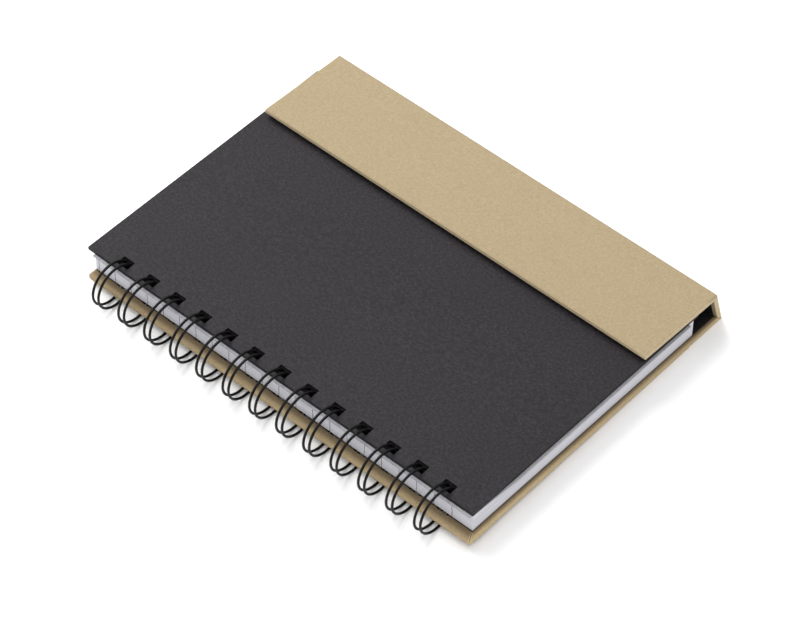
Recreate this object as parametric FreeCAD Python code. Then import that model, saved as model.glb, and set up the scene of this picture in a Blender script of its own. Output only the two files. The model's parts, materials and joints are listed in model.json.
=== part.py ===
import FreeCAD, Part
import math
import os

# A wire-bound notebook in a hard paper-covered case. The case is a back board, a narrow spine
# board and a flap board that folds over the front cover. Millimetres throughout.
# Everything is drawn flat first: X along the bound edge, Y from the bound edge to the spine,
# Z up from the underside of the back board. The last step tips the whole notebook by the small
# angle at which its wire loops and its far edge stand on one table.

# Page block
page_length = 178.9
page_width = 119.0
page_thickness = 8.95
page_left_margin = 0.45
page_right_margin = 1.5
page_setback = 2.9

# Front cover and the card under it
cover_thickness = 1.35
cover_setback = 1.7
cover_left_overhang = 1.8
cover_right_inset = 0.6
cover_far_lap = 1.2
card_thickness = 0.6
card_setback = 0.7
card_left_inset = 1.5
card_right_overhang = 0.3
card_far_inset = 3.9
card_corner_inset = 1.4
card_corner_run = 23.0

# Case boards
back_board_thickness = 2.5
spine_board_thickness = 2.2
flap_board_thickness = 2.1
back_board_lip = 0.5
fore_edge_space = 15.75
spine_lean_deg = 16.2
flap_depth = 40.5
flap_rise_deg = 2.2
board_edge_radius = 0.5
fold_clearance = 0.1
flap_clearance = 0.12

# Dark lining paper inside the case
lining_thickness = 0.2
lining_end_margin = 1.9
lining_edge_margin = 2.0
lining_fold_margin = 0.4

# Holes and twin-loop wire
loop_pitch = 12.7
loop_row_margin = 11.0
pair_gap = 2.74
wire_diameter = 1.0
loop_radius = 9.04
loop_lift = 0.7
root_angle_deg = -74.0
seam_gap = 0.3
hole_length = 5.3
hole_depth = 4.1
hole_clearance = 0.3
page_hole_setback = 1.4
wire_sides = 6
loop_steps = 24
bend_steps = 2

# Sizes worked out from those above
case_length = page_left_margin + page_length + page_right_margin
page_far = page_setback + page_width
case_depth = page_far + fore_edge_space
page_bottom = back_board_thickness + lining_thickness
card_bottom = page_bottom + page_thickness
cover_bottom = card_bottom + card_thickness
cover_top = cover_bottom + cover_thickness
cover_far = page_far + cover_far_lap
flap_rest = cover_top + flap_clearance + lining_thickness

# The wire has a many-sided section of the same area as a round wire of its diameter
side_angle = math.pi / wire_sides
wire_corner_r = wire_diameter / 2 * math.sqrt(side_angle / (math.sin(side_angle) * math.cos(side_angle)))
wire_flat_r = wire_corner_r * math.cos(side_angle)
loop_outer_r = loop_radius + wire_flat_r
loop_axis_z = cover_top / 2 + loop_lift
page_hole_far = page_setback + page_hole_setback + hole_depth
loop_axis_y = page_hole_far - hole_clearance - wire_flat_r - loop_radius
bend_radius = pair_gap / 2

# The row of holes and loops is centred on the pages
loop_pairs = int((page_length - 2 * loop_row_margin) / loop_pitch) + 1
first_pair_x = page_left_margin + (page_length - loop_pitch * (loop_pairs - 1)) / 2

X_AXIS = FreeCAD.Vector(1, 0, 0)


# Straight-line geometry in the YZ section of the case
def crossing(p, u, q, v):
    """The point where the line through p along u meets the line through q along v."""
    area = u[0] * v[1] - u[1] * v[0]
    s = ((q[0] - p[0]) * v[1] - (q[1] - p[1]) * v[0]) / area
    return (p[0] + s * u[0], p[1] + s * u[1])


def moved(p, u, distance):
    return (p[0] + u[0] * distance, p[1] + u[1] * distance)


def unit(p, q):
    length = math.hypot(q[0] - p[0], q[1] - p[1])
    return ((q[0] - p[0]) / length, (q[1] - p[1]) / length)


lean = math.radians(spine_lean_deg)
rise = math.radians(flap_rise_deg)
ALONG = (1.0, 0.0)
spine_up = (-math.sin(lean), math.cos(lean))
spine_in = (-math.cos(lean), -math.sin(lean))
flap_out = (-math.cos(rise), math.sin(rise))
flap_up = (math.sin(rise), math.cos(rise))

# Outer corners of the two folds, and the inner corners where the boards' inner faces would meet
# The flap rests on the far edge of the front cover and rises from there to its free edge
low_fold = (case_depth, 0.0)
flap_inner = (cover_far, flap_rest)
flap_outer = moved(flap_inner, flap_up, flap_board_thickness)
high_fold = crossing(low_fold, spine_up, flap_outer, flap_out)
spine_inner = moved(low_fold, spine_in, spine_board_thickness)
low_inner = crossing(spine_inner, spine_up, (0.0, back_board_thickness), ALONG)
high_inner = crossing(spine_inner, spine_up, flap_inner, flap_out)
low_mitre = unit(low_fold, low_inner)
high_mitre = unit(high_fold, high_inner)


def mitre_point(fold, mitre, side, through, along):
    """Where a board's face meets its mitre, which stands fold_clearance to one side of the fold."""
    normal = (-mitre[1] * side, mitre[0] * side)
    return crossing(moved(fold, normal, fold_clearance), mitre, through, along)


def flat_face(corners):
    return Part.Face(Part.makePolygon(corners + corners[:1]))


def strip(points, x0, x1):
    """A YZ outline pushed along X from x0 to x1."""
    outline = flat_face([FreeCAD.Vector(x0, y, z) for y, z in points])
    return outline.extrude(FreeCAD.Vector(x1 - x0, 0, 0))


def slab(x0, x1, y0, y1, z0, z1):
    return Part.makeBox(x1 - x0, y1 - y0, z1 - z0, FreeCAD.Vector(x0, y0, z0))


def soften(solid, wanted, radius):
    """Round the edges for which wanted(edge) is true."""
    edges = [edge for edge in solid.Edges if wanted(edge)]
    return solid.makeFillet(radius, edges)


def is_end_edge(edge):
    """An edge that lies in one of the two end faces of the case and runs across them."""
    box = edge.BoundBox
    at_end = min(abs(box.XMin), abs(box.XMax - case_length)) < 0.01
    return at_end and box.XLength < 0.01 and box.YLength > 5 * box.ZLength


def is_free_edge(edge, y):
    """An edge along the case, within a board's thickness of the distance y from the bound edge."""
    box = edge.BoundBox
    return box.XLength > case_length / 2 and abs(box.YMin - y) < flap_board_thickness / 2


# Wire loops
def outward(angle):
    """Away from the axis of the loops, at an angle round it."""
    return FreeCAD.Vector(0, math.cos(angle), math.sin(angle))


def onward(angle):
    """Round the loops, towards a larger angle."""
    return FreeCAD.Vector(0, -math.sin(angle), math.cos(angle))


def loop_point(x, angle):
    return FreeCAD.Vector(x, loop_axis_y, loop_axis_z) + outward(angle) * loop_radius


def wire_section(centre, heading, out):
    """Corners of the wire's section at a point of its path, square to its heading."""
    side = heading.cross(out)
    corners = []
    for i in range(wire_sides):
        turn = 2 * math.pi * i / wire_sides
        corners.append(centre + side * (wire_corner_r * math.cos(turn)) + out * (wire_corner_r * math.sin(turn)))
    return corners


root_angle = math.radians(root_angle_deg)
leg_start = root_angle - bend_radius / loop_radius
leg_end = root_angle + (2 * wire_flat_r + seam_gap + bend_radius) / loop_radius - 2 * math.pi


def leg(x, start, end):
    """One wire of a pair, round the loop from one angle to the other."""
    sense = math.copysign(1, end - start)
    angles = [start + (end - start) * i / loop_steps for i in range(loop_steps + 1)]
    return [wire_section(loop_point(x, angle), onward(angle) * sense, outward(angle)) for angle in angles]


def bend(start, heading, towards, out, turn_deg, steps):
    """A bend of the wire that begins at start along heading and turns towards one side."""
    sections = []
    for i in range(1, steps + 1):
        turn = math.radians(turn_deg) * i / steps
        centre = start + heading * (bend_radius * math.sin(turn)) + towards * (bend_radius * (1 - math.cos(turn)))
        sections.append(wire_section(centre, heading * math.cos(turn) + towards * math.sin(turn), out))
    return sections


def pair_sections(x):
    """Out along one wire, round the closed tip and back along the other."""
    first = x - pair_gap / 2
    tip = bend(loop_point(first, leg_end), onward(leg_end) * -1, X_AXIS, outward(leg_end), 180, 2 * bend_steps)
    back = leg(x + pair_gap / 2, leg_end, leg_start)
    return leg(first, leg_start, leg_end) + tip + back[1:]


def link_sections(x):
    """From the end of the pair at x along the root to the start of the next pair."""
    root = onward(leg_start)
    out = outward(leg_start)
    last = loop_point(x + pair_gap / 2, leg_start)
    following = loop_point(x + loop_pitch - pair_gap / 2 - bend_radius, leg_start) + root * bend_radius
    turn_in = bend(last, root, X_AXIS, out, 90, bend_steps)
    turn_out = bend(following, X_AXIS, root * -1, out, 90, bend_steps)
    return turn_in + [wire_section(following, X_AXIS, out)] + turn_out[:-1]


def wire_binding():
    """One length of wire, skinned with flat faces from each section of its path to the next."""
    sections = []
    for i in range(loop_pairs):
        x = first_pair_x + loop_pitch * i
        sections += pair_sections(x)
        if i < loop_pairs - 1:
            sections += link_sections(x)
    faces = [flat_face(sections[0]), flat_face(sections[-1])]
    for here, there in zip(sections, sections[1:]):
        for i in range(wire_sides):
            j = (i + 1) % wire_sides
            faces.append(flat_face([here[i], here[j], there[j], there[i]]))
    skin = Part.makeShell(faces)
    skin.sewShape()
    return Part.makeSolid(skin)


# Holes for the wire
def wire_reach(z):
    """The wire's nearest and farthest Y where it passes the height z on its way down the holes."""
    rise = z - loop_axis_z
    run = math.sqrt(loop_radius ** 2 - rise ** 2)
    half = wire_corner_r * loop_radius / run
    return loop_axis_y + run - half, loop_axis_y + run + half


def hole_span(z0, z1):
    """Y from and to for the holes of a layer between z0 and z1, so that the wire passes clear."""
    if z0 < loop_axis_z < z1:
        far = loop_axis_y + loop_radius + wire_flat_r + hole_clearance
    else:
        far = max(wire_reach(z0)[1], wire_reach(z1)[1]) + hole_clearance
    near = min(wire_reach(z0)[0], wire_reach(z1)[0]) - hole_clearance
    return min(near, far - hole_depth), far


def punched(solid, z0, z1):
    """The layer with a row of rectangular holes on the loops' pitch."""
    near, far = hole_span(z0, z1)
    cutters = []
    for i in range(loop_pairs):
        x = first_pair_x + loop_pitch * i
        cutters.append(slab(x - hole_length / 2, x + hole_length / 2, near, far, z0 - 1, z1 + 1))
    return solid.cut(Part.makeCompound(cutters))


# Book
def page_block():
    right = page_left_margin + page_length
    block = slab(page_left_margin, right, page_setback, page_far, page_bottom, card_bottom)
    return punched(block, page_bottom, card_bottom)


def divider_card():
    """A card a little larger than the pages, with its near right corner drawn in."""
    right = case_length + card_right_overhang
    far = page_far - card_far_inset
    outline = [
        (card_left_inset, card_setback),
        (right - card_corner_inset, card_setback),
        (right, card_setback + card_corner_run),
        (right, far),
        (card_left_inset, far),
    ]
    face = flat_face([FreeCAD.Vector(x, y, card_bottom) for x, y in outline])
    card = face.extrude(FreeCAD.Vector(0, 0, card_thickness))
    return punched(card, card_bottom, cover_bottom)


def front_cover():
    right = case_length - cover_right_inset
    cover = slab(-cover_left_overhang, right, cover_setback, cover_far, cover_bottom, cover_top)
    return punched(cover, cover_bottom, cover_top)


# Case
def back_board():
    """The board under the book, cut to a mitre at the low fold, with the wire's row of holes."""
    near = -back_board_lip
    outline = [
        (near, 0.0),
        mitre_point(low_fold, low_mitre, 1, (0.0, 0.0), ALONG),
        mitre_point(low_fold, low_mitre, 1, (0.0, back_board_thickness), ALONG),
        (near, back_board_thickness),
    ]
    board = strip(outline, 0.0, case_length)
    board = soften(board, lambda e: is_end_edge(e) or is_free_edge(e, near), board_edge_radius)
    return punched(board, 0.0, back_board_thickness)


def spine_board():
    """The narrow leaning board between the two folds, with a mitre at each."""
    outline = [
        mitre_point(low_fold, low_mitre, -1, low_fold, spine_up),
        mitre_point(high_fold, high_mitre, 1, low_fold, spine_up),
        mitre_point(high_fold, high_mitre, 1, spine_inner, spine_up),
        mitre_point(low_fold, low_mitre, -1, spine_inner, spine_up),
    ]
    board = strip(outline, 0.0, case_length)
    long_side = [e for e in board.Edges if e.BoundBox.XLength < 0.01 and e.Length > cover_top / 2]
    return board.makeFillet(board_edge_radius, long_side)


def flap_board():
    """The board that folds over the front cover, cut to a mitre at the high fold."""
    free_corner = moved(high_fold, flap_out, flap_depth)
    near = free_corner[0]
    outline = [
        mitre_point(high_fold, high_mitre, -1, flap_outer, flap_out),
        mitre_point(high_fold, high_mitre, -1, flap_inner, flap_out),
        moved(free_corner, flap_up, -flap_board_thickness),
        free_corner,
    ]
    board = strip(outline, 0.0, case_length)
    return soften(board, lambda e: is_end_edge(e) or is_free_edge(e, near), board_edge_radius)


def lining(outline):
    return strip(outline, lining_end_margin, case_length - lining_end_margin)


def back_lining():
    """Lies on the back board from just past the holes to the low fold."""
    near = page_hole_far + lining_edge_margin
    far = low_inner[0] - lining_fold_margin
    top = back_board_thickness + lining_thickness
    return lining([(near, back_board_thickness), (far, back_board_thickness), (far, top), (near, top)])


def spine_lining():
    """Lies on the inner face of the spine board, short of both folds."""
    low = moved(low_inner, spine_up, lining_fold_margin)
    high = moved(high_inner, spine_up, -lining_fold_margin)
    return lining([low, high, moved(high, spine_in, lining_thickness), moved(low, spine_in, lining_thickness)])


def flap_lining():
    """Lies under the flap board, between the flap and the front cover."""
    free_corner = moved(high_fold, flap_out, flap_depth - lining_edge_margin)
    near = moved(free_corner, flap_up, -flap_board_thickness)
    far = moved(high_inner, flap_out, lining_fold_margin)
    return lining([near, far, moved(far, flap_up, -lining_thickness), moved(near, flap_up, -lining_thickness)])


# How the notebook stands: on the bottoms of its loops and on the far edge of the back board
stand_y, stand_z = mitre_point(low_fold, low_mitre, 1, (0.0, 0.0), ALONG)
axis_distance = math.hypot(stand_y - loop_axis_y, loop_axis_z - stand_z)
axis_rise = math.atan2(loop_axis_z - stand_z, stand_y - loop_axis_y)
tilt_deg = math.degrees(math.asin(loop_outer_r / axis_distance) - axis_rise)

pieces = {
    "back_board": back_board(),
    "back_lining": back_lining(),
    "page_block": page_block(),
    "divider_card": divider_card(),
    "front_cover": front_cover(),
    "wire_binding": wire_binding(),
    "spine_board": spine_board(),
    "spine_lining": spine_lining(),
    "flap_board": flap_board(),
    "flap_lining": flap_lining(),
}

for shape in pieces.values():
    shape.rotate(FreeCAD.Vector(0, 0, 0), X_AXIS, -tilt_deg)


def tipped(point):
    """A YZ point of the flat drawing after the whole is tipped."""
    tilt = math.radians(tilt_deg)
    y = point[0] * math.cos(tilt) + point[1] * math.sin(tilt)
    z = -point[0] * math.sin(tilt) + point[1] * math.cos(tilt)
    return y, z


# The origin goes to the middle of the bottom of the whole
whole = Part.makeCompound(list(pieces.values())).BoundBox
shift = FreeCAD.Vector(-whole.Center.x, -whole.Center.y, -whole.ZMin)

os.makedirs("parts", exist_ok=True)
for name, shape in pieces.items():
    shape.translate(shift)
    shape.exportStep("parts/" + name + ".step")


flap_middle = moved(high_fold, flap_out, flap_depth / 2)
for name, point in (("low fold", low_fold), ("high fold", high_fold), ("middle of the flap", flap_middle)):
    y, z = tipped(point)
    print("%s y %.4f z %.4f" % (name, y + shift.y, z + shift.z))
print("tilt %.4f deg, shift %.4f %.4f %.4f" % (tilt_deg, shift.x, shift.y, shift.z))
for name, shape in pieces.items():
    box = shape.BoundBox
    print("%s: %d solid, valid %s, %.1f mm3, %.2f x %.2f x %.2f mm" % (
        name, len(shape.Solids), shape.isValid(), shape.Volume, box.XLength, box.YLength, box.ZLength))
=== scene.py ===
import json
import math

import bpy
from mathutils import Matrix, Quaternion, Vector


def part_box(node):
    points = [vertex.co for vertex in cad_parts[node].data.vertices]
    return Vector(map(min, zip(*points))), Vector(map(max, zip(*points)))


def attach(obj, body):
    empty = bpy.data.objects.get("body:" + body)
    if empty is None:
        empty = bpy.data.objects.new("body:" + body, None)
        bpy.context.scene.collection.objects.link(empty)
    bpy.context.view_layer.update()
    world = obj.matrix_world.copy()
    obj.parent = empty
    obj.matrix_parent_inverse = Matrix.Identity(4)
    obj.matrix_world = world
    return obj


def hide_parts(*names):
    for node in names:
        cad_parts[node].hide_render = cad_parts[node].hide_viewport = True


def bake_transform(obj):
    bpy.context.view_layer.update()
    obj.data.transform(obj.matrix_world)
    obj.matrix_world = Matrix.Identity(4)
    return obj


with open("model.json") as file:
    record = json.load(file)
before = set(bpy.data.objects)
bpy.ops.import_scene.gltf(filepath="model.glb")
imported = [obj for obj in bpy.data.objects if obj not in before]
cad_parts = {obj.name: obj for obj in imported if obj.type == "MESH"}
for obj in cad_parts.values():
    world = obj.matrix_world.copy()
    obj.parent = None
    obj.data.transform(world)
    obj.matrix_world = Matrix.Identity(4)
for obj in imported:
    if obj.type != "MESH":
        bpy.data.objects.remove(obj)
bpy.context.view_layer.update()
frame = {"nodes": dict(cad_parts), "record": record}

MM = 0.001

# The photograph's view
VIEW_AZIMUTH = 41.55
VIEW_ELEVATION = 48.78
VIEW_DISTANCE = 1275 * MM
VIEW_TARGET = (8.45 * MM, -5.9921 * MM, 10.1086 * MM)
VIEW_LENS = 161.97
VIEW_SENSOR = 36
VIEW_ROLL = 0.113
VIEW_CLIP = (0.05, 20)

# Wire loops, as the solid has them. Its six-sided wire stays FACET_LOSS inside this round one.
LOOP_PAIRS = 13
LOOP_PITCH = 12.7 * MM
PAIR_GAP = 2.74 * MM
WIRE_RADIUS = 0.5 * MM
LOOP_RADIUS = 9.04 * MM
ROOT_ANGLE = math.radians(-74.0)
SEAM_GAP = 0.3 * MM
BEND_RADIUS = PAIR_GAP / 2
FACET_LOSS = 0.02 * MM
LOOP_STEPS = 64
TIP_STEPS = 8
LINK_STEPS = 5

# Boards of the case, with the width of the painted light on their edge faces
BOARD_SLOPE = math.radians(0.832)
FLAP_SLOPE = math.radians(3.032)
EDGE_RADIUS = 0.5 * MM
BOARD_THICKNESS = 2.5 * MM
PAINTED_LIGHT_WIDTH = 0.22 * MM

# Paper over the folds. Proud is how far its middle stands off the boards, and its ends are sunk in.
HIGH_FOLD_PROUD = 0.045 * MM
LOW_FOLD_PROUD = -0.04 * MM
PAPER_SINK = 0.015 * MM
PAPER_REACH = 6 * MM
PAPER_STEPS = 10
PAPER_COLUMNS = 12

# Puffed paper along the back board's right end and its bound edge, over whose first part it grows
WRAP_BULGE = 0.85 * MM
WRAP_FLAT = 0.05 * MM
WRAP_LENGTH = 119 * MM
WRAP_INSET = 0.02 * MM
WRAP_GROWTH = 0.3
END_COLUMNS = 24
BOUND_COLUMNS = 40

# Ruled lines, each ending at the bound edge of its page
RULE_PITCH = 8.0 * MM
RULE_WIDTH = 0.16 * MM
RULE_START = 1.6 * MM
RULE_WANDER = 0.8 * MM
RULE_LENGTH = 0.35 * MM
RULE_SIDE_MARGIN = 2 * MM
RULE_TOP_MARGIN = 0.5 * MM

# Painted shade and painted highlight lines along the mitred folds at the back board's corners. The far
# ones run in by FAR_CREASE.
CREASE_WIDTH = 0.14 * MM
CREASE_REACH = 3.2 * MM
FAR_CREASE = (1.9 * MM, 2.2 * MM)

# Painted shade on the back board beside the pages, by distance out from them and down the side: a thin
# near-black line against the pages that stands for the black lining's edge and its shade, then painted
# light further out
SHADE_REACH = 5.0 * MM
SHADE_DROP = 0.5 * MM
END_SHADE_SCALE = 2.6
SHADE_STOPS = [
    (0.0, (0.06, 0.05, 0.05)),
    (0.05, (0.1, 0.09, 0.08)),
    (0.1, (0.48, 0.45, 0.42)),
    (0.4, (0.62, 0.59, 0.55)),
    (0.7, (0.98, 0.94, 0.88)),
    (1.0, (1.5, 1.45, 1.36)),
]

# Row of holes in pages and card, measured from the bound edge
HOLE_ROW_START = 0.9 * MM
HOLE_ROW_END = 6.6 * MM
HOLE_ROW_MARGIN = 5.0 * MM

# Studio
FLOOR_REACH = 6.0
KEY_PLACE = (-0.76, 0.2, 0.9)
KEY_SIZE = 0.9
KEY_POWER = 12.2
FILL_PLACE = (0.7, -1.1, 1.5)
FILL_SIZE = 1.4
FILL_POWER = 9
SKY_STOPS = [(0.0, 0.42), (0.8, 1.0)]
SKY_STRENGTH = 0.95

hinges = {joint["name"]: joint for joint in frame["record"]["behaviour"]["joints"]}
LOW_FOLD = Vector(hinges["spine_fold"]["pos_m"])
HIGH_FOLD = Vector(hinges["flap_fold"]["pos_m"])


# Node helpers
class Nodes:
    """A material's node tree, with short calls to add nodes and join them."""

    def __init__(self, name):
        self.material = bpy.data.materials.new(name)
        self.material.use_nodes = True
        self.tree = self.material.node_tree
        self.shader = self.tree.nodes["Principled BSDF"]
        self.coords = self.tree.nodes.new("ShaderNodeTexCoord").outputs["Object"]

    def add(self, kind, **settings):
        """A new node with these settings."""
        node = self.tree.nodes.new(kind)
        for key, value in settings.items():
            setattr(node, key, value)
        return node

    def join(self, source, target):
        """Links an output to an input."""
        self.tree.links.new(source, target)

    def scaled(self, scale, turn=(0, 0, 0)):
        """The object's coordinates, scaled and turned."""
        node = self.add("ShaderNodeMapping")
        node.inputs["Scale"].default_value = scale
        node.inputs["Rotation"].default_value = turn
        self.join(self.coords, node.inputs["Vector"])
        return node.outputs["Vector"]

    def noise(self, scale, detail, rough, vector=None):
        """Noise between nought and one."""
        node = self.add("ShaderNodeTexNoise")
        node.inputs["Scale"].default_value = scale
        node.inputs["Detail"].default_value = detail
        node.inputs["Roughness"].default_value = rough
        self.join(vector or self.coords, node.inputs["Vector"])
        return node.outputs["Fac"]

    def ramp(self, value, stops):
        """A value turned into colour, by stops of place and colour."""
        node = self.add("ShaderNodeValToRGB")
        elements = node.color_ramp.elements
        while len(elements) < len(stops):
            elements.new(0.5)
        for element, (place, colour) in zip(elements, stops):
            element.position = place
            element.color = colour if len(colour) == 4 else (*colour, 1)
        self.join(value, node.inputs["Fac"])
        return node.outputs["Color"]

    def mix(self, factor, first, second, mode="MIX"):
        """Two colours mixed, the factor being the share of the second."""
        node = self.add("ShaderNodeMix", data_type="RGBA", blend_type=mode)
        sockets = (node.inputs["Factor"], node.inputs[6], node.inputs[7])
        for socket, value in zip(sockets, (factor, first, second)):
            if isinstance(value, bpy.types.NodeSocket):
                self.join(value, socket)
            elif isinstance(value, (int, float)):
                socket.default_value = value
            else:
                socket.default_value = value if len(value) == 4 else (*value, 1)
        return node.outputs[2]

    def tint(self, base, mask, share, tone):
        """The base with a tone laid over it where the mask is one, as strongly as the share says."""
        return self.mix(self.maths("MULTIPLY", mask, share), base, tone)

    def maths(self, operation, first, second=0.0):
        """One step of arithmetic on two values, each a number or another node's output."""
        node = self.add("ShaderNodeMath", operation=operation)
        for socket, value in zip(node.inputs, (first, second)):
            if isinstance(value, bpy.types.NodeSocket):
                self.join(value, socket)
            else:
                socket.default_value = value
        return node.outputs[0]

    def blend(self, first, first_share, second, second_share):
        """The sum of two values, each times its share."""
        first = self.maths("MULTIPLY", first, first_share)
        return self.maths("ADD", first, self.maths("MULTIPLY", second, second_share))

    def apart(self, value, middle):
        """How far a value is from a middle, to either side."""
        return self.maths("ABSOLUTE", self.maths("SUBTRACT", value, middle))

    def axis(self, letter):
        """The object's coordinate along X, Y or Z."""
        node = self.add("ShaderNodeSeparateXYZ")
        self.join(self.coords, node.inputs[0])
        return node.outputs[letter]

    def bump(self, height, strength, distance):
        """Fine relief over the whole surface."""
        node = self.add("ShaderNodeBump")
        node.inputs["Strength"].default_value = strength
        node.inputs["Distance"].default_value = distance
        self.join(height, node.inputs["Height"])
        self.join(node.outputs["Normal"], self.shader.inputs["Normal"])

    def finish(self, colour, roughness, specular):
        """Sets colour, roughness and specular level, and gives the material."""
        self.join(colour, self.shader.inputs["Base Color"])
        if isinstance(roughness, bpy.types.NodeSocket):
            self.join(roughness, self.shader.inputs["Roughness"])
        else:
            self.shader.inputs["Roughness"].default_value = roughness
        self.shader.inputs["Specular IOR Level"].default_value = specular
        return self.material


def srgb(red, green, blue):
    """A colour given in 0 to 255 as a screen shows it, in the linear values that nodes use."""
    values = []
    for channel in (red, green, blue):
        share = channel / 255
        values.append(share / 12.92 if share <= 0.04045 else ((share + 0.055) / 1.055) ** 2.4)
    return (*values, 1)


# Tones, each with its place where they make a ramp
KRAFT_TONES = [(0.3, srgb(148, 133, 104)), (0.5, srgb(157, 141, 112)), (0.7, srgb(166, 150, 121))]
DARK_SPECK_STOPS = [(0.63, (0, 0, 0)), (0.72, (1, 1, 1))]
LIGHT_SPECK_STOPS = [(0.64, (0, 0, 0)), (0.73, (1, 1, 1))]
DARK_SPECK = srgb(112, 90, 62)
LIGHT_SPECK = srgb(184, 170, 142)
SPECK_SHARE = 0.22
# Painted light on the boards' edge faces
PAINTED_LIGHT_TONE = srgb(212, 193, 158)
PAINTED_LIGHT_SHARE = 0.6
# Painted highlight and painted shade of the mitred folds
CREASE_HIGHLIGHT_TONE = srgb(226, 206, 168)
CREASE_SHADE_TONE = srgb(70, 52, 34)
COVER_TONES = [(0.32, srgb(19, 17, 19)), (0.5, srgb(33, 30, 33)), (0.68, srgb(47, 44, 48))]
SHEET_TONES = [(0.3, srgb(182, 182, 189)), (0.5, srgb(208, 208, 215)), (0.7, srgb(220, 220, 226))]
RULE_TONE = srgb(52, 52, 60)
SHEET_HOLE_SHADE = srgb(22, 22, 24)
LINING_TONES = [(0.3, srgb(22, 21, 22)), (0.7, srgb(31, 30, 32))]
DIVIDER_TONES = [(0.3, srgb(146, 146, 150)), (0.7, srgb(166, 166, 170))]
DIVIDER_HOLE_SHADE = srgb(20, 20, 22)
WIRE_TONES = [(0.35, srgb(8, 8, 9)), (0.7, srgb(14, 14, 15))]
FLOOR_TONES = [(0.3, (0.93, 0.93, 0.935)), (0.7, (0.94, 0.94, 0.945))]


# Materials
def kraft_material(name, crease_shading=(), painted_light_edges=(), shaded=False):
    """Brown wrapping paper with soft mottling and small specks.

    Creases are folded corners drawn as painted shade and highlight lines, the listed edge faces get
    painted light, and a shaded board gets painted shade towards the pages that stand on it, easing to
    painted light further out.
    """
    m = Nodes(name)
    clouds = m.noise(60, 4, 0.6)
    mottle = m.noise(1150, 3, 0.65)
    base = m.ramp(m.blend(clouds, 0.1, mottle, 0.9), KRAFT_TONES)
    dark = m.ramp(m.noise(1900, 2, 0.5), DARK_SPECK_STOPS)
    base = m.tint(base, dark, SPECK_SHARE, DARK_SPECK)
    turned = m.scaled((1, 1, 1), (0.4, 0.2, 1.3))
    light = m.ramp(m.noise(1400, 2, 0.5, turned), LIGHT_SPECK_STOPS)
    base = m.tint(base, light, SPECK_SHARE, LIGHT_SPECK)
    # Painted light: the board's edge faces drawn lighter, as brightly lit as its top.
    for letter, limit, above in painted_light_edges:
        painted_light = m.maths("GREATER_THAN" if above else "LESS_THAN", m.axis(letter), limit)
        base = m.tint(base, painted_light, PAINTED_LIGHT_SHARE, PAINTED_LIGHT_TONE)
    # Painted shade towards the pages, easing to painted light further out and down the side.
    if shaded:
        shade = m.ramp(page_distance(m), SHADE_STOPS)
        base = m.mix(1.0, base, shade, "MULTIPLY")
    # Painted shade along each mitred fold, with a painted highlight at each side.
    for inner, outer in crease_shading:
        shade_line, highlight_line = crease_shade_masks(m, inner, outer)
        base = m.tint(base, highlight_line, 0.35, CREASE_HIGHLIGHT_TONE)
        base = m.tint(base, shade_line, 0.7, CREASE_SHADE_TONE)
    m.bump(m.maths("ADD", mottle, m.noise(420, 4, 0.6)), 0.2, 0.05 * MM)
    return m.finish(base, 0.85, 0.2)


def page_distance(m):
    """Distance out from the page block's bound edge and ends and down the board's side.

    It is given as a share of the shade's reach.
    """
    low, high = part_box("page_block")
    x, y, z = m.axis("X"), m.axis("Y"), m.axis("Z")
    near = m.maths("SUBTRACT", low[1], y)
    right = m.maths("MULTIPLY", m.maths("SUBTRACT", x, high[0]), END_SHADE_SCALE)
    left = m.maths("MULTIPLY", m.maths("SUBTRACT", low[0], x), END_SHADE_SCALE)
    out = m.maths("MAXIMUM", near, m.maths("MAXIMUM", right, left))
    below = m.maths("MAXIMUM", m.maths("SUBTRACT", low[2] - SHADE_DROP, z), 0.0)
    total = m.maths("ADD", m.maths("MAXIMUM", out, 0.0), below)
    return m.maths("DIVIDE", total, SHADE_REACH)


def crease_shade_masks(m, inner, outer):
    """A thin painted shade line with a painted highlight line at each side, in the upright plane
    through two plan points.
    """
    x, y = m.axis("X"), m.axis("Y")
    length = math.dist(inner, outer)
    across = ((inner[1] - outer[1]) / length, (outer[0] - inner[0]) / length)
    from_x = m.maths("MULTIPLY", m.maths("SUBTRACT", x, outer[0]), across[0])
    from_y = m.maths("MULTIPLY", m.maths("SUBTRACT", y, outer[1]), across[1])
    offset = m.maths("ADD", from_x, from_y)
    close_x = m.maths("LESS_THAN", m.apart(x, outer[0]), CREASE_REACH)
    close_y = m.maths("LESS_THAN", m.apart(y, outer[1]), CREASE_REACH)
    close = m.maths("MULTIPLY", close_x, close_y)
    dark = m.maths("LESS_THAN", m.maths("ABSOLUTE", offset), CREASE_WIDTH)
    beside = m.maths("ABSOLUTE", m.maths("ADD", m.maths("ABSOLUTE", offset), -2 * CREASE_WIDTH))
    light = m.maths("LESS_THAN", beside, CREASE_WIDTH)
    return m.maths("MULTIPLY", dark, close), m.maths("MULTIPLY", light, close)


def cover_material():
    """Black card with a fine pressed fibre grain."""
    m = Nodes("black_card")
    clouds = m.noise(25, 3, 0.6)
    grain = m.noise(1250, 3, 0.7, m.scaled((0.7, 1, 1), (0, 0, 0.4)))
    base = m.ramp(m.blend(clouds, 0.1, grain, 0.9), COVER_TONES)
    m.bump(grain, 0.7, 0.1 * MM)
    return m.finish(base, 0.6, 0.2)


def hole_row_mask(m, node):
    """One inside the row of holes of a bound sheet, nought elsewhere."""
    low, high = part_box(node)
    x, y = m.axis("X"), m.axis("Y")
    inside = m.maths("GREATER_THAN", y, low[1] + HOLE_ROW_START)
    inside = m.maths("MULTIPLY", inside, m.maths("LESS_THAN", y, low[1] + HOLE_ROW_END))
    inside = m.maths("MULTIPLY", inside, m.maths("GREATER_THAN", x, low[0] + HOLE_ROW_MARGIN))
    return m.maths("MULTIPLY", inside, m.maths("LESS_THAN", x, high[0] - HOLE_ROW_MARGIN))


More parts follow.
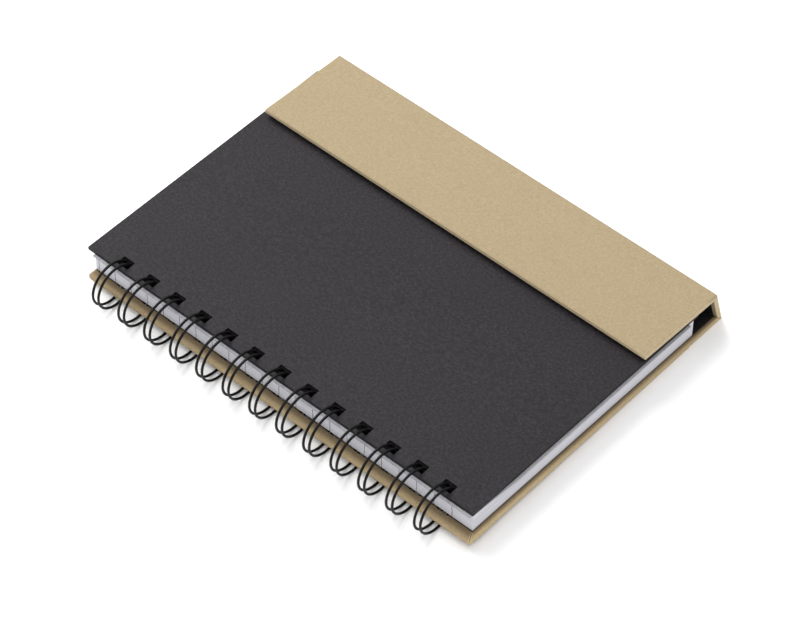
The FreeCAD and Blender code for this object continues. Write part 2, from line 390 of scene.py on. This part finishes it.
def rule_mask(m, node):
    """One on the thin end of each ruled line at the bound edge."""
    low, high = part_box(node)
    x, y, z = m.axis("X"), m.axis("Y"), m.axis("Z")
    wander = m.noise(1.0, 2, 0.5, m.scaled((90, 0, 620)))
    shift = m.maths("MULTIPLY", m.maths("SUBTRACT", wander, 0.5), RULE_WANDER)
    along = m.maths("ADD", m.maths("SUBTRACT", x, low[0] + RULE_START), shift)
    place = m.maths("MODULO", m.maths("ADD", along, RULE_PITCH / 2), RULE_PITCH)
    line = m.maths("LESS_THAN", m.apart(place, RULE_PITCH / 2), RULE_WIDTH)
    inside = m.maths("MULTIPLY", line, m.maths("LESS_THAN", y, low[1] + RULE_LENGTH))
    inside = m.maths("MULTIPLY", inside, m.maths("LESS_THAN", x, high[0] - RULE_SIDE_MARGIN))
    return m.maths("MULTIPLY", inside, m.maths("LESS_THAN", z, high[2] - RULE_TOP_MARGIN))


def page_material():
    """White sheet edges: fine lines one sheet apart, ends of the ruled lines, and painted shade in the
    holes.
    """
    m = Nodes("page_edges")
    layers = m.noise(1.0, 2, 0.5, m.scaled((14, 14, 7600)))
    wide = m.noise(1.0, 2, 0.5, m.scaled((6, 6, 1500)))
    lines = m.blend(layers, 0.7, wide, 0.3)
    base = m.ramp(lines, SHEET_TONES)
    base = m.tint(base, rule_mask(m, "page_block"), 0.75, RULE_TONE)
    # Painted shade in the row of holes.
    base = m.tint(base, hole_row_mask(m, "page_block"), 0.9, SHEET_HOLE_SHADE)
    m.bump(lines, 0.35, 0.1 * MM)
    return m.finish(base, 0.8, 0.2)


def lining_material():
    """Black endpaper."""
    m = Nodes("lining_paper")
    grain = m.noise(700, 4, 0.6)
    base = m.ramp(grain, LINING_TONES)
    m.bump(grain, 0.3, 0.05 * MM)
    return m.finish(base, 0.8, 0.15)


def card_material():
    """Light grey card of the divider, with painted shade in its holes."""
    m = Nodes("grey_card")
    grain = m.noise(800, 4, 0.6)
    base = m.ramp(grain, DIVIDER_TONES)
    # Painted shade in the row of holes.
    base = m.tint(base, hole_row_mask(m, "divider_card"), 0.9, DIVIDER_HOLE_SHADE)
    m.bump(grain, 0.3, 0.05 * MM)
    return m.finish(base, 0.75, 0.2)


def wire_material():
    """Black coating on wire, slightly uneven and a little worn."""
    m = Nodes("coated_wire")
    wear = m.noise(420, 5, 0.6)
    base = m.ramp(wear, WIRE_TONES)
    rough = m.maths("ADD", m.maths("MULTIPLY", wear, 0.2), 0.28)
    m.bump(wear, 0.15, 0.03 * MM)
    return m.finish(base, rough, 0.17)


def floor_material():
    """Plain pale floor."""
    m = Nodes("studio_floor")
    base = m.ramp(m.noise(2, 2, 0.5), FLOOR_TONES)
    return m.finish(base, 0.9, 0.1)


def board_painted_light_edges(node, near):
    """Edge faces of a covered board that get painted light: its two ends and, where near is set, its
    near edge.
    """
    low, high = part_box(node)
    painted_light_edges = [("X", high[0] - PAINTED_LIGHT_WIDTH, True), ("X", low[0] + PAINTED_LIGHT_WIDTH, False)]
    if near:
        painted_light_edges.append(("Y", low[1] + PAINTED_LIGHT_WIDTH, False))
    return painted_light_edges


def back_board_crease_shading():
    """Mitred folds of the covering paper at the back board's corners, where painted shade and
    highlight lines are drawn.
    """
    low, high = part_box("back_board")
    pages_low, pages_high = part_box("page_block")
    puffed = WRAP_BULGE * 0.5
    far = LOW_FOLD.y
    in_x, in_y = FAR_CREASE
    return [
        ((pages_high[0], pages_low[1]), (high[0] + puffed, low[1] - puffed)),
        ((pages_low[0], pages_low[1]), low[:2]),
        ((high[0] - in_x, far - in_y), (high[0], far)),
        ((low[0] + in_x, far - in_y), (low[0], far)),
    ]


materials = {
    "kraft": kraft_material("kraft_paper"),
    "kraft_back": kraft_material("kraft_back_board", crease_shading=back_board_crease_shading(), shaded=True),
    "kraft_flap": kraft_material("kraft_flap_board", painted_light_edges=board_painted_light_edges("flap_board", True)),
    "kraft_spine": kraft_material("kraft_spine_board", painted_light_edges=board_painted_light_edges("spine_board", False)),
    "cover": cover_material(),
    "pages": page_material(),
    "lining": lining_material(),
    "card": card_material(),
    "wire": wire_material(),
}

NODE_MATERIALS = {
    "back_board": "kraft_back",
    "spine_board": "kraft_spine",
    "flap_board": "kraft_flap",
    "front_cover": "cover",
    "page_block": "pages",
    "divider_card": "card",
    "back_lining": "lining",
    "spine_lining": "lining",
    "flap_lining": "lining",
    "wire_binding": "wire",
}


def dress_nodes():
    """Gives each solid its material."""
    for node, key in NODE_MATERIALS.items():
        slots = frame["nodes"][node].data.materials
        slots.clear()
        slots.append(materials[key])


def add_mesh(name, vertices, faces, material):
    """A new mesh piece in the scene."""
    mesh = bpy.data.meshes.new(name)
    mesh.from_pydata([tuple(v) for v in vertices], [], faces)
    mesh.materials.append(material)
    piece = bpy.data.objects.new(name, mesh)
    bpy.context.scene.collection.objects.link(piece)
    return piece


# Wire binding
def wire_path():
    """Points along the middle of the one continuous wire."""
    low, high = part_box("wire_binding")
    out_reach = LOOP_RADIUS + WIRE_RADIUS
    axis_y = low[1] + out_reach - FACET_LOSS
    axis_z = low[2] + out_reach - FACET_LOSS
    centre_x = (low[0] + high[0]) / 2
    first_x = centre_x - LOOP_PITCH * (LOOP_PAIRS - 1) / 2
    start = ROOT_ANGLE - BEND_RADIUS / LOOP_RADIUS
    end = ROOT_ANGLE + (2 * WIRE_RADIUS + SEAM_GAP + BEND_RADIUS) / LOOP_RADIUS - 2 * math.pi
    sweep = end - start

    def at(x, angle, lead=0.0):
        """A point of a loop, lead being how far it stands off along the loop's tangent."""
        out = Vector((0, math.cos(angle), math.sin(angle)))
        along = Vector((0, -math.sin(angle), math.cos(angle)))
        return Vector((x, axis_y, axis_z)) + out * LOOP_RADIUS + along * lead

    points = []
    for pair in range(LOOP_PAIRS):
        x = first_x + LOOP_PITCH * pair
        left, right = x - PAIR_GAP / 2, x + PAIR_GAP / 2
        for i in range(LOOP_STEPS + 1):
            points.append(at(left, start + sweep * i / LOOP_STEPS))
        for i in range(1, TIP_STEPS):
            turn = math.pi * i / TIP_STEPS
            points.append(at(x - BEND_RADIUS * math.cos(turn), end, -BEND_RADIUS * math.sin(turn)))
        for i in range(LOOP_STEPS + 1):
            points.append(at(right, end - sweep * i / LOOP_STEPS))
        if pair < LOOP_PAIRS - 1:
            following = x + LOOP_PITCH - PAIR_GAP / 2
            for i in range(1, LINK_STEPS + 1):
                turn = math.pi / 2 * i / LINK_STEPS
                lead = BEND_RADIUS * math.sin(turn)
                points.append(at(right + BEND_RADIUS * (1 - math.cos(turn)), start, lead))
            for i in range(LINK_STEPS):
                turn = math.pi / 2 * i / LINK_STEPS
                lead = BEND_RADIUS * math.cos(turn)
                points.append(at(following - BEND_RADIUS * (1 - math.sin(turn)), start, lead))
    return points


def make_wire():
    """The round wire, in place of the solid's six-sided one."""
    points = wire_path()
    curve = bpy.data.curves.new("wire_loops", "CURVE")
    curve.dimensions = "3D"
    curve.bevel_depth = WIRE_RADIUS
    curve.bevel_resolution = 3
    curve.use_fill_caps = True
    spline = curve.splines.new("POLY")
    spline.points.add(len(points) - 1)
    for place, point in zip(spline.points, points):
        place.co = (*point, 1)
    curve.materials.append(materials["wire"])
    piece = bpy.data.objects.new("wire_loops", curve)
    bpy.context.scene.collection.objects.link(piece)
    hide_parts("wire_binding")
    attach(piece, "book")


# Paper over the folds
def edge_drop(distance):
    """How far a rounded edge lies below the face, at a distance in from the edge."""
    short = max(0.0, EDGE_RADIUS - distance)
    return EDGE_RADIUS - math.sqrt(EDGE_RADIUS ** 2 - short ** 2)


def make_fold_paper(name, fold, first_along, second_along, proud):
    """A strip of the covering paper round a fold, thinning out into each board's outer face.

    Proud is how far its middle stands off the boards, and below nought it lies in their gap.
    """
    low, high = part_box("spine_board")
    outward = -(first_along + second_along).normalized()
    first_out = (outward - first_along * outward.dot(first_along)).normalized()
    second_out = (outward - second_along * outward.dot(second_along)).normalized()
    profile = []
    for i in range(2 * PAPER_STEPS + 1):
        share = (i - PAPER_STEPS) / PAPER_STEPS
        along = first_along if share < 0 else second_along
        off = outward if i == PAPER_STEPS else (first_out if share < 0 else second_out)
        height = (proud + PAPER_SINK) * (1 - share ** 2) - PAPER_SINK
        profile.append((fold + along * (abs(share) * PAPER_REACH), off, height))
    insets = [0.03 * MM, 0.12 * MM, 0.25 * MM, EDGE_RADIUS, 1.2 * MM]
    columns = [(low[0] + inset, inset) for inset in insets]
    length = high[0] - low[0]
    columns += [(low[0] + length * i / PAPER_COLUMNS, 1.0) for i in range(1, PAPER_COLUMNS)]
    columns += [(high[0] - inset, inset) for inset in reversed(insets)]
    vertices, faces = [], []
    for x, inset in columns:
        drop = edge_drop(inset)
        for point, off, height in profile:
            vertices.append(Vector((x, point.y, point.z)) + off * (height - drop))
    rows = len(profile)
    for column in range(len(columns) - 1):
        for row in range(rows - 1):
            a = column * rows + row
            faces.append((a, a + rows, a + rows + 1, a + 1))
    piece = add_mesh(name, vertices, faces, materials["kraft"])
    for polygon in piece.data.polygons:
        polygon.use_smooth = True
    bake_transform(piece)


def make_folds():
    """The covering paper over the low fold and the high one."""
    up = (HIGH_FOLD - LOW_FOLD).normalized()
    board_way = Vector((0, -math.cos(BOARD_SLOPE), math.sin(BOARD_SLOPE)))
    flap_way = Vector((0, -math.cos(FLAP_SLOPE), math.sin(FLAP_SLOPE)))
    make_fold_paper("low_fold_paper", LOW_FOLD, board_way, up, LOW_FOLD_PROUD)
    make_fold_paper("high_fold_paper", HIGH_FOLD, -up, flap_way, HIGH_FOLD_PROUD)


# The puffed paper's section round the board's edge. Each point has a fixed step out from the edge,
# a share of the bulge, one where it is taken from the board's top or nought from its underside,
# and a rise from there.
WRAP_PROFILE = [
    (-1.6 * MM, 0.0, 1, -0.04 * MM),
    (-0.9 * MM, 0.0, 1, 0.08 * MM),
    (-0.35 * MM, 0.0, 1, 0.04 * MM),
    (0.0, 0.35, 1, -0.25 * MM),
    (0.0, 0.8, 1, -0.8 * MM),
    (0.0, 1.0, 0, 1.15 * MM),
    (0.0, 0.85, 0, 0.45 * MM),
    (0.0, 0.4, 0, 0.0),
    (-0.4 * MM, 0.0, 0, -0.2 * MM),
    (-1.2 * MM, 0.0, 0, -0.2 * MM),
    (-2.4 * MM, 0.0, 0, 0.04 * MM),
]


def board_point(x, along, height):
    """A point of the back board, by its way from the fold and its height over the underside."""
    way = Vector((0, -math.cos(BOARD_SLOPE), math.sin(BOARD_SLOPE)))
    up = Vector((0, math.sin(BOARD_SLOPE), math.cos(BOARD_SLOPE)))
    return Vector((x, LOW_FOLD.y, LOW_FOLD.z)) + way * along + up * height


def wrap_side(path):
    """Vertices and faces of one straight side of the puffed paper, from its path points.

    A path point has x, the way from the fold, the outward step in both, and the bulge there.
    """
    vertices, faces = [], []
    for x, along, step_x, step_along, bulge in path:
        for inset, share, from_top, rise in WRAP_PROFILE:
            out = inset + share * bulge
            height = from_top * BOARD_THICKNESS + rise
            vertices.append(board_point(x + step_x * out, along + step_along * out, height))
    rows = len(WRAP_PROFILE)
    for column in range(len(path) - 1):
        for row in range(rows - 1):
            a = column * rows + row
            faces.append((a, a + rows, a + rows + 1, a + 1))
    return vertices, faces


def make_wrap():
    """The puffed paper along the bound edge and the right end, growing towards their shared corner."""
    low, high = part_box("back_board")
    far_reach = (LOW_FOLD.y - low[1]) / math.cos(BOARD_SLOPE)
    corner = far_reach - WRAP_INSET
    end = []
    for i in range(END_COLUMNS + 1):
        share = i / END_COLUMNS
        ripple = 1 + 0.12 * math.sin(share * 23 + 1)
        bulge = WRAP_BULGE if i == 0 else WRAP_BULGE * (1 - share) * ripple + WRAP_FLAT
        end.append((high[0], corner - share * WRAP_LENGTH, 1, 1 if i == 0 else 0, bulge))
    bound = []
    for i in range(BOUND_COLUMNS + 1):
        share = i / BOUND_COLUMNS
        last = i == BOUND_COLUMNS
        grown = min(1.0, share / WRAP_GROWTH)
        ripple = 1 if last else 1 + 0.08 * math.sin(share * 37)
        bulge = WRAP_BULGE * grown * ripple + (0 if last else WRAP_FLAT)
        x = low[0] + EDGE_RADIUS + (high[0] - low[0] - EDGE_RADIUS) * share
        bound.append((x, corner, 1 if last else 0, 1, bulge))
    vertices, faces = [], []
    for path in (end, bound):
        some, more = wrap_side(path)
        faces += [tuple(index + len(vertices) for index in face) for face in more]
        vertices += some
    piece = add_mesh("back_board_wrap", vertices, faces, materials["kraft_back"])
    for polygon in piece.data.polygons:
        polygon.use_smooth = True
    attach(piece, "book")


# Floor, light and view
def make_floor():
    """The plain floor that the notebook lies on."""
    far = FLOOR_REACH
    corners = [(-far, -far, 0), (far, -far, 0), (far, far, 0), (-far, far, 0)]
    floor = add_mesh("floor", corners, [(0, 1, 2, 3)], floor_material())


def add_area_light(name, place, size, power):
    """A round soft light that shines at the notebook's middle."""
    data = bpy.data.lights.new(name, "AREA")
    data.shape = "DISK"
    data.size = size
    data.energy = power
    light = bpy.data.objects.new(name, data)
    light.location = place
    light.rotation_mode = "QUATERNION"
    light.rotation_quaternion = (-Vector(place)).to_track_quat("-Z", "Y")
    bpy.context.scene.collection.objects.link(light)


def make_light():
    """Two soft lights and a pale surround that is darker towards the horizon."""
    add_area_light("key", KEY_PLACE, KEY_SIZE, KEY_POWER)
    add_area_light("fill", FILL_PLACE, FILL_SIZE, FILL_POWER)
    world = bpy.data.worlds.new("studio")
    world.use_nodes = True
    tree = world.node_tree
    background = tree.nodes["Background"]
    coords = tree.nodes.new("ShaderNodeTexCoord")
    split = tree.nodes.new("ShaderNodeSeparateXYZ")
    ramp = tree.nodes.new("ShaderNodeValToRGB")
    for element, (place, grey) in zip(ramp.color_ramp.elements, SKY_STOPS):
        element.position = place
        element.color = (grey, grey, grey, 1)
    tree.links.new(coords.outputs["Generated"], split.inputs[0])
    tree.links.new(split.outputs["Z"], ramp.inputs["Fac"])
    tree.links.new(ramp.outputs["Color"], background.inputs["Color"])
    background.inputs["Strength"].default_value = SKY_STRENGTH
    bpy.context.scene.world = world


def make_camera():
    """The camera of the photograph's view."""
    data = bpy.data.cameras.new("camera")
    data.lens = VIEW_LENS
    data.sensor_width = VIEW_SENSOR
    data.clip_start, data.clip_end = VIEW_CLIP
    camera = bpy.data.objects.new("camera", data)
    azimuth, elevation = math.radians(VIEW_AZIMUTH), math.radians(VIEW_ELEVATION)
    back = Vector((
        math.sin(azimuth) * math.cos(elevation),
        -math.cos(azimuth) * math.cos(elevation),
        math.sin(elevation),
    ))
    camera.location = Vector(VIEW_TARGET) + back * VIEW_DISTANCE
    camera.rotation_mode = "QUATERNION"
    level = (-back).to_track_quat("-Z", "Y")
    camera.rotation_quaternion = level @ Quaternion((0, 0, 1), math.radians(VIEW_ROLL))
    bpy.context.scene.collection.objects.link(camera)
    bpy.context.scene.camera = camera


bpy.context.scene.view_settings.view_transform = "Standard"
dress_nodes()
make_wire()
make_folds()
make_wrap()
make_floor()
make_light()
make_camera()
